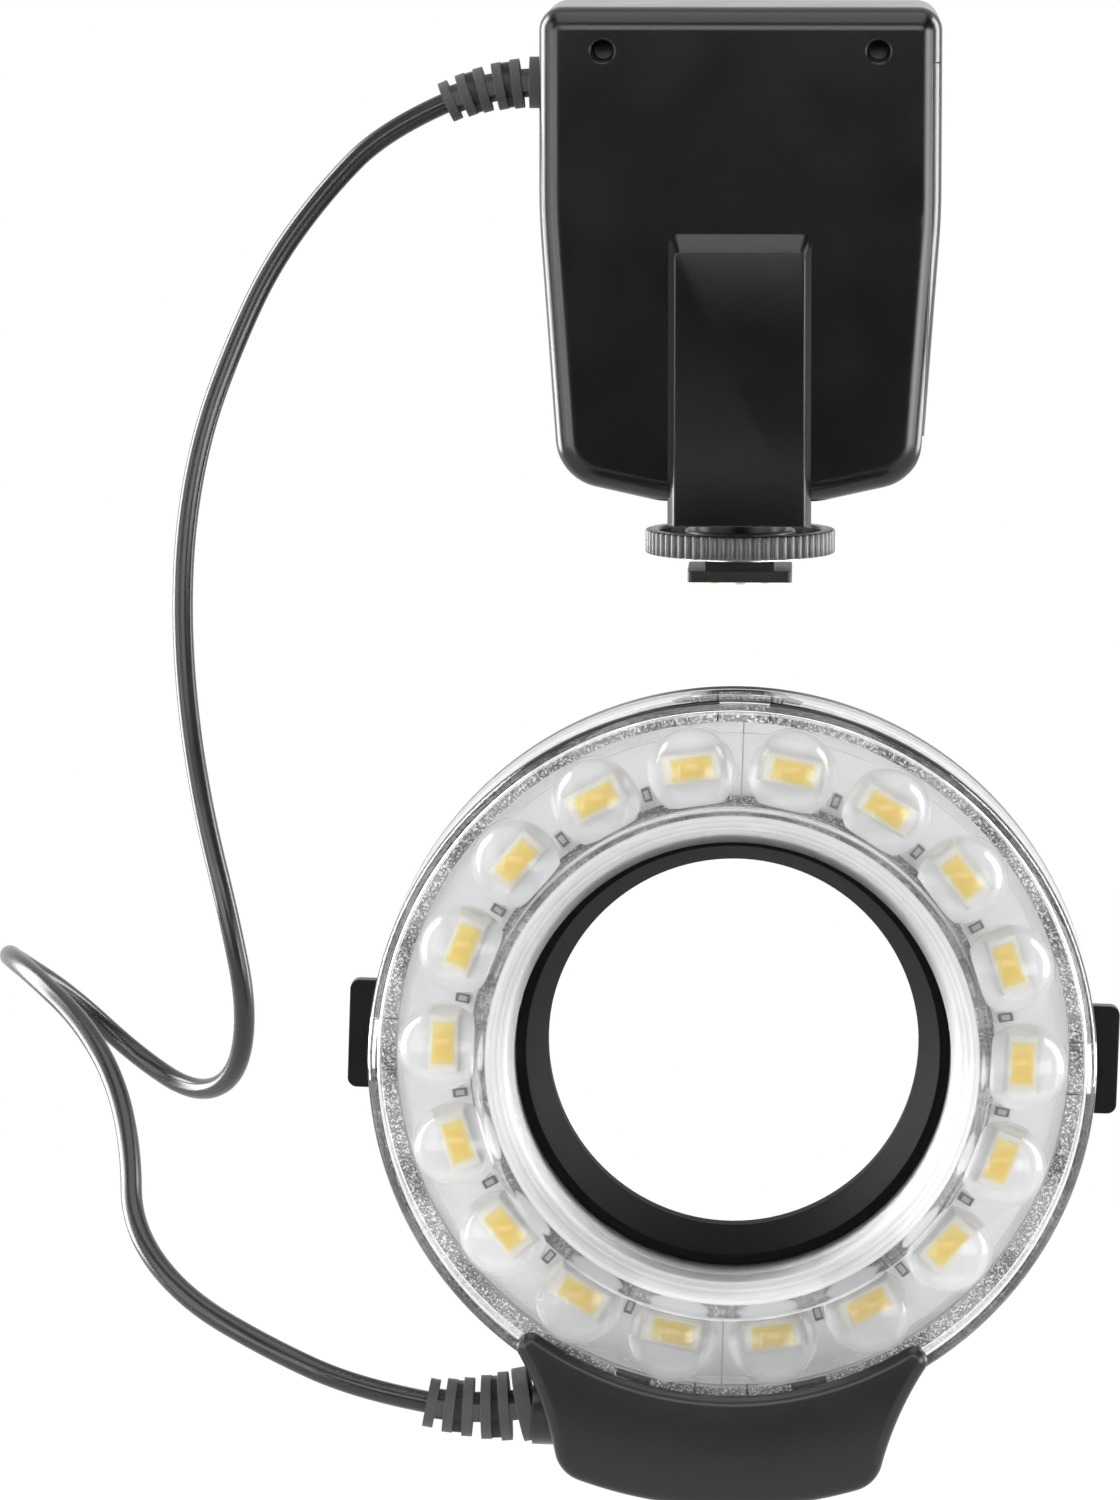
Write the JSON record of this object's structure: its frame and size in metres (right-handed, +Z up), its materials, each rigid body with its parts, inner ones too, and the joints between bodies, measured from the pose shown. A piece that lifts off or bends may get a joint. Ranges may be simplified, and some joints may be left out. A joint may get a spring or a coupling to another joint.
{
  "type": "macro ring flash",
  "caption": "Ring light for close-up photographs: a round head that clips round a lens, with a cord to a controller that slides into a camera's hot shoe.",
  "frame": {"origin": "centre of the underside of the hot-shoe foot", "axes": "+Z up, -Y the way the light shines and the foot slides into a shoe, +X to the viewer's right"},
  "size_m": [0.1969, 0.1553, 0.2458],
  "materials": {
    "case_black": "satin moulded",
    "housing_black": "satin moulded",
    "slider_black": "satin moulded",
    "adapter_black": "black anodised",
    "key_grey": "soft matt",
    "display_window": "clear, dark tinted",
    "display_glass": "dull grey-green display",
    "wheel_grey": "fine knurled",
    "foot_black": "satin moulded",
    "clamp_steel": "plain",
    "pin_metal": "polished",
    "screw_black": "blackened",
    "relief_rubber": "matt moulded",
    "cord_black": "satin sheath",
    "clear_cover": "clear, glossy",
    "lens_white": "clear to milky, glossy",
    "led_board_white": "white solder mask",
    "led_package": "plain",
    "led_phosphor": "yellow silicone",
    "chip_dark": "plain",
    "chassis_grey": "frosted, sparkling",
    "reflector_pale": "pale, frosted",
    "board_green": "solder mask",
    "capacitor_can": "plain",
    "ferrite": "lacquered",
    "cell_wrap": "plain wrap",
    "contact_steel": "nickel plated",
    "holder_black": "plain moulded",
    "connector_white": "plain"
  },
  "bodies": {
    "flash": {"front_shell": "case_black", "rear_shell": "case_black", "pedestal": "case_black", "case_screws": "screw_black", "battery_holder": "holder_black", "battery_cells": "cell_wrap", "battery_contacts": "contact_steel", "main_board": "board_green", "capacitors": "capacitor_can", "power_coil": "ferrite", "control_chip": "chip_dark", "key_board": "board_green", "key_switches": "chip_dark", "display_module": "display_glass", "display_window": "display_window", "shoe_foot": "foot_black", "upper_strain_relief": "relief_rubber", "lower_strain_relief": "relief_rubber", "cord": "cord_black", "ring_cover": "clear_cover", "lens_plate": "lens_white", "left_led_board": "led_board_white", "right_led_board": "led_board_white", "led_packages": "led_package", "led_phosphors": "led_phosphor", "chip_resistors": "chip_dark", "ring_chassis": "chassis_grey", "reflector": "reflector_pale", "ring_rear_cover": "housing_black", "ring_screws": "screw_black", "housing_front": "housing_black", "housing_rear": "housing_black", "driver_board": "board_green", "cord_connector": "connector_white"},
    "clamp_plate": {"clamp_plate": "clamp_steel"},
    "lock_wheel": {"lock_wheel": "wheel_grey"},
    "lock_pin": {"lock_pin": "clamp_steel"},
    "contact_pins": {"contact_pins": "pin_metal"},
    "battery_door": {"battery_door": "case_black"},
    "power_button": {"power_button": "key_grey"},
    "mode_button": {"mode_button": "key_grey"},
    "plus_button": {"plus_button": "key_grey"},
    "minus_button": {"minus_button": "key_grey"},
    "test_button": {"test_button": "key_grey"},
    "left_release_slider": {"left_release_slider": "slider_black"},
    "right_release_slider": {"right_release_slider": "slider_black"},
    "adapter_ring": {"adapter_ring": "adapter_black"}
  },
  "joints": [
    {"name": "clamp_slide", "type": "slide", "parent": "flash", "child": "clamp_plate", "axis": [0, 0, 1], "range_m": [0, 0.0015]},
    {"name": "wheel_turn", "type": "hinge", "parent": "clamp_plate", "child": "lock_wheel", "pos_m": [0, 0, 0.0067], "axis": [0, 0, 1], "range_deg": [0, 540]},
    {"name": "pin_slide", "type": "slide", "parent": "flash", "child": "lock_pin", "axis": [0, 0, 1], "range_m": [0, 0.0022]},
    {"name": "contact_press", "type": "slide", "parent": "flash", "child": "contact_pins", "axis": [0, 0, 1], "range_m": [0, 0.0005], "stiffness_N_per_m": 400, "springref_m": -0.001},
    {"name": "door_slide", "type": "slide", "parent": "flash", "child": "battery_door", "axis": [0, 0, -1], "range_m": [0, 0.005]},
    {"name": "power_press", "type": "slide", "parent": "flash", "child": "power_button", "axis": [0, -1, 0], "range_m": [0, 0.0007], "stiffness_N_per_m": 300, "springref_m": -0.001},
    {"name": "mode_press", "type": "slide", "parent": "flash", "child": "mode_button", "axis": [0, -1, 0], "range_m": [0, 0.0007], "stiffness_N_per_m": 300, "springref_m": -0.001},
    {"name": "plus_press", "type": "slide", "parent": "flash", "child": "plus_button", "axis": [0, -1, 0], "range_m": [0, 0.0007], "stiffness_N_per_m": 300, "springref_m": -0.001},
    {"name": "minus_press", "type": "slide", "parent": "flash", "child": "minus_button", "axis": [0, -1, 0], "range_m": [0, 0.0007], "stiffness_N_per_m": 300, "springref_m": -0.001},
    {"name": "test_press", "type": "slide", "parent": "flash", "child": "test_button", "axis": [0, -1, 0], "range_m": [0, 0.0007], "stiffness_N_per_m": 300, "springref_m": -0.001},
    {"name": "left_release", "type": "slide", "parent": "flash", "child": "left_release_slider", "axis": [0.9995, 0, -0.0314], "range_m": [0, 0.0025], "stiffness_N_per_m": 400, "springref_m": -0.002},
    {"name": "right_release", "type": "slide", "parent": "flash", "child": "right_release_slider", "axis": [-0.9995, 0, 0.0314], "range_m": [0, 0.0025], "stiffness_N_per_m": 400, "springref_m": -0.002},
    {"name": "adapter_turn", "type": "hinge", "parent": "flash", "child": "adapter_ring", "pos_m": [0, -0.106, -0.0686], "axis": [0, 1, 0], "continuous": true}
  ],
  "couplings": [
    {"joint": "clamp_slide", "follows": "wheel_turn", "m_per_rad": 0.00015915},
    {"joint": "pin_slide", "follows": "wheel_turn", "m_per_rad": 0.00023342}
  ]
}
